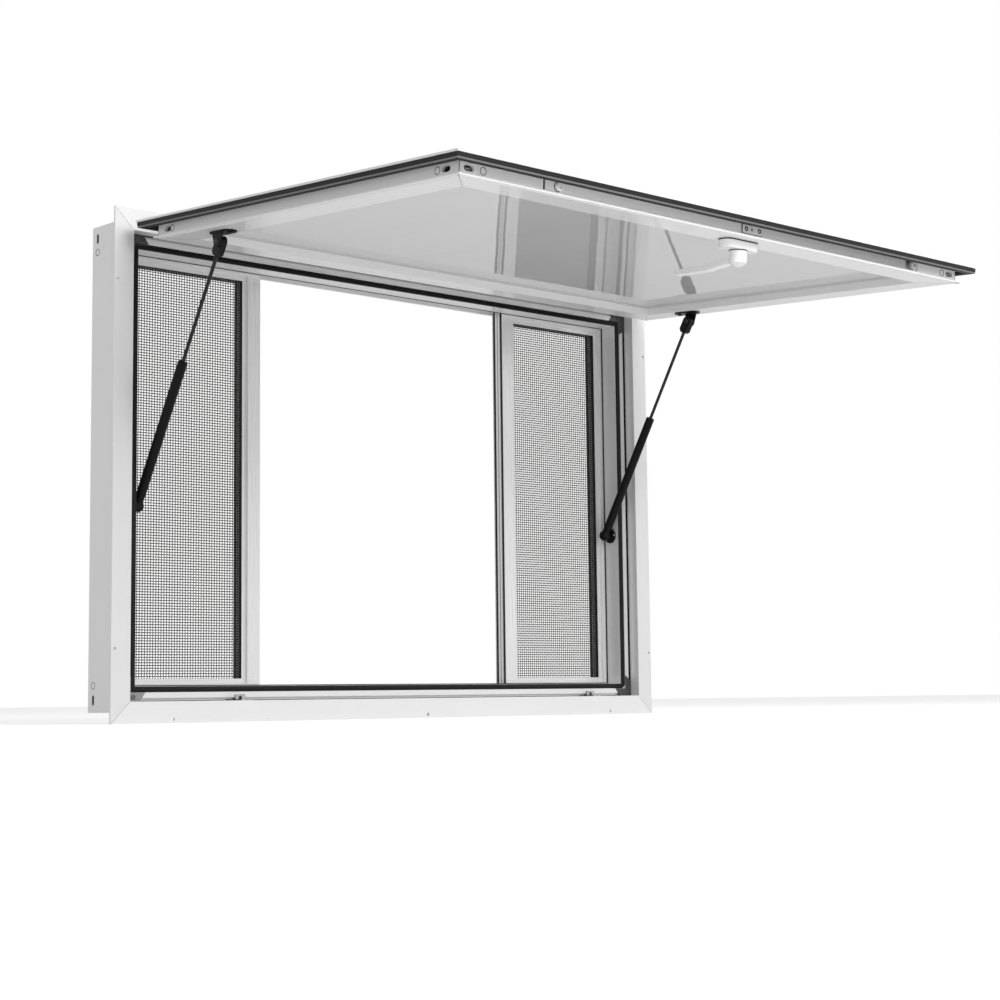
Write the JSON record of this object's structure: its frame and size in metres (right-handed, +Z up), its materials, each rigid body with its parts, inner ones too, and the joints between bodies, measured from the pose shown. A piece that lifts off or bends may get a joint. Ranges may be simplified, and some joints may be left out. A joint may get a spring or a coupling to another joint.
{
  "type": "concession window",
  "caption": "Flanged aluminium serving window with an awning hatch on gas struts, a turn handle with latch bar, and sliding insect screens.",
  "frame": {"origin": "back face of the sill's flange, at the middle of its length and of the part that laps over the wall", "axes": "+X along the sill to the right as seen from outside, +Y into the wall, +Z up"},
  "size_m": [0.94, 0.6937, 0.634],
  "materials": {
    "frame_aluminium": "satin anodised extrusion",
    "screen_aluminium": "satin anodised extrusion",
    "rail_aluminium": "bright anodised extrusion",
    "hinge_aluminium": "satin anodised extrusion",
    "hatch_enamel": "gloss white stove enamel",
    "panel_gloss": "polished white laminate",
    "seal_rubber": "matt black extrusion",
    "insect_mesh": "woven dark grey mesh",
    "plated_steel": "zinc plated",
    "stainless_steel": "turned stainless steel",
    "handle_white": "gloss white powder coat",
    "strut_black": "gloss black paint",
    "strut_rod_dark": "black nitrided",
    "strut_plastic": "moulded black nylon"
  },
  "bodies": {
    "frame": {"frame_sill": "frame_aluminium", "frame_head": "frame_aluminium", "frame_jamb_left": "frame_aluminium", "frame_jamb_right": "frame_aluminium", "gasket_sill": "seal_rubber", "gasket_head": "seal_rubber", "gasket_jamb_left": "seal_rubber", "gasket_jamb_right": "seal_rubber", "corner_keys": "plated_steel", "latch_keepers": "plated_steel", "hinge_frame_leaf": "hinge_aluminium", "hinge_pin": "stainless_steel", "screen_left_front_frame": "screen_aluminium", "screen_left_front_mesh": "insect_mesh", "screen_left_rear_frame": "screen_aluminium", "screen_left_rear_mesh": "insect_mesh", "strut_left_ball_stud": "stainless_steel", "screen_right_front_frame": "screen_aluminium", "screen_right_front_mesh": "insect_mesh", "screen_right_rear_frame": "screen_aluminium", "screen_right_rear_mesh": "insect_mesh", "strut_right_ball_stud": "stainless_steel"},
    "hatch": {"hatch_skin": "hatch_enamel", "hatch_seal": "seal_rubber", "hatch_core": "panel_gloss", "hatch_rail_front": "rail_aluminium", "hatch_rail_hinge": "rail_aluminium", "hatch_rail_left": "rail_aluminium", "hatch_rail_right": "rail_aluminium", "hinge_hatch_leaf": "hinge_aluminium", "handle_base": "handle_white", "strut_left_bracket": "strut_black", "strut_right_bracket": "strut_black"},
    "handle": {"handle_lever": "handle_white"},
    "latch": {"latch_bar": "rail_aluminium", "latch_drive_plate": "plated_steel"},
    "strut_left_upper": {"strut_left_eye": "strut_plastic", "strut_left_rod": "strut_rod_dark"},
    "strut_left_lower": {"strut_left_tube": "strut_black", "strut_left_socket": "strut_plastic"},
    "strut_right_upper": {"strut_right_eye": "strut_plastic", "strut_right_rod": "strut_rod_dark"},
    "strut_right_lower": {"strut_right_tube": "strut_black", "strut_right_socket": "strut_plastic"}
  },
  "joints": [
    {"name": "hatch_hinge", "type": "hinge", "parent": "frame", "child": "hatch", "pos_m": [0, -0.0206, 0.61285], "axis": [1, 0, 0], "range_deg": [0, 86.8]},
    {"name": "handle_turn", "type": "hinge", "parent": "hatch", "child": "handle", "pos_m": [0.026, -0.58, 0.55343], "axis": [0, 0.0558, -0.9984], "range_deg": [0, 90]},
    {"name": "latch_slide", "type": "slide", "parent": "hatch", "child": "latch", "axis": [1, 0, 0], "range_m": [0, 0.008]},
    {"name": "strut_left_pivot", "type": "hinge", "parent": "hatch", "child": "strut_left_upper", "pos_m": [-0.4125, -0.14646, 0.56465], "axis": [-1, 0, 0], "range_deg": [0, 114.21]},
    {"name": "strut_left_slide", "type": "slide", "parent": "strut_left_upper", "child": "strut_left_lower", "axis": [0, -0.5091, 0.8607], "range_m": [0, 0.12891]},
    {"name": "strut_right_pivot", "type": "hinge", "parent": "hatch", "child": "strut_right_upper", "pos_m": [0.4125, -0.14646, 0.56465], "axis": [-1, 0, 0], "range_deg": [0, 114.21]},
    {"name": "strut_right_slide", "type": "slide", "parent": "strut_right_upper", "child": "strut_right_lower", "axis": [0, -0.5091, 0.8607], "range_m": [0, 0.12891]}
  ],
  "couplings": [
    {"joint": "latch_slide", "follows": "handle_turn", "m_per_rad": 0.005092},
    {"joint": "strut_left_pivot", "follows": "hatch_hinge", "ratio": 1.3156},
    {"joint": "strut_left_slide", "follows": "hatch_hinge", "m_per_rad": 0.085085},
    {"joint": "strut_right_pivot", "follows": "hatch_hinge", "ratio": 1.3156},
    {"joint": "strut_right_slide", "follows": "hatch_hinge", "m_per_rad": 0.085085}
  ]
}
